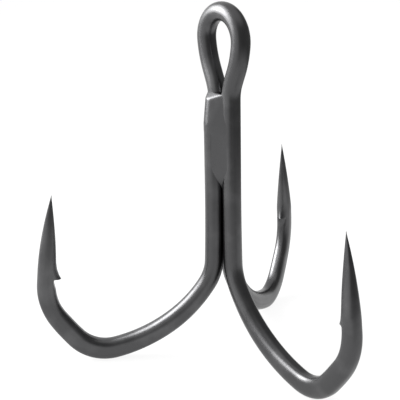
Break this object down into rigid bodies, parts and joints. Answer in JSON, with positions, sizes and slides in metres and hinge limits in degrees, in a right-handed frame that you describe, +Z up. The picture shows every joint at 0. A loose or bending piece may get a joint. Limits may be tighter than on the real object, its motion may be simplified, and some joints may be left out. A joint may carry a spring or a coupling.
{
  "type": "treble hook",
  "caption": "Forged, barbed treble fishing hook: hooks set evenly round one brazed shank, with a closed wire eye for a split ring or line.",
  "frame": {"origin": "centre of the eye's round top, on the shank's axis, where a split ring or line knot bears", "axes": "+Z up along the shank towards the eye; -Y the way the eyed hook points, so the eye lies in the YZ plane; +X through the eye's hole"},
  "size_m": [0.0358, 0.0313, 0.0387],
  "materials": {
    "wire": "gloss",
    "braze": "satin"
  },
  "bodies": {
    "root": {"eyed_hook": "wire", "left_hook": "wire", "rear_hook": "wire", "front_braze": "braze", "left_braze": "braze", "right_braze": "braze", "core_braze": "braze", "neck_braze": "braze"}
  },
  "joints": []
}
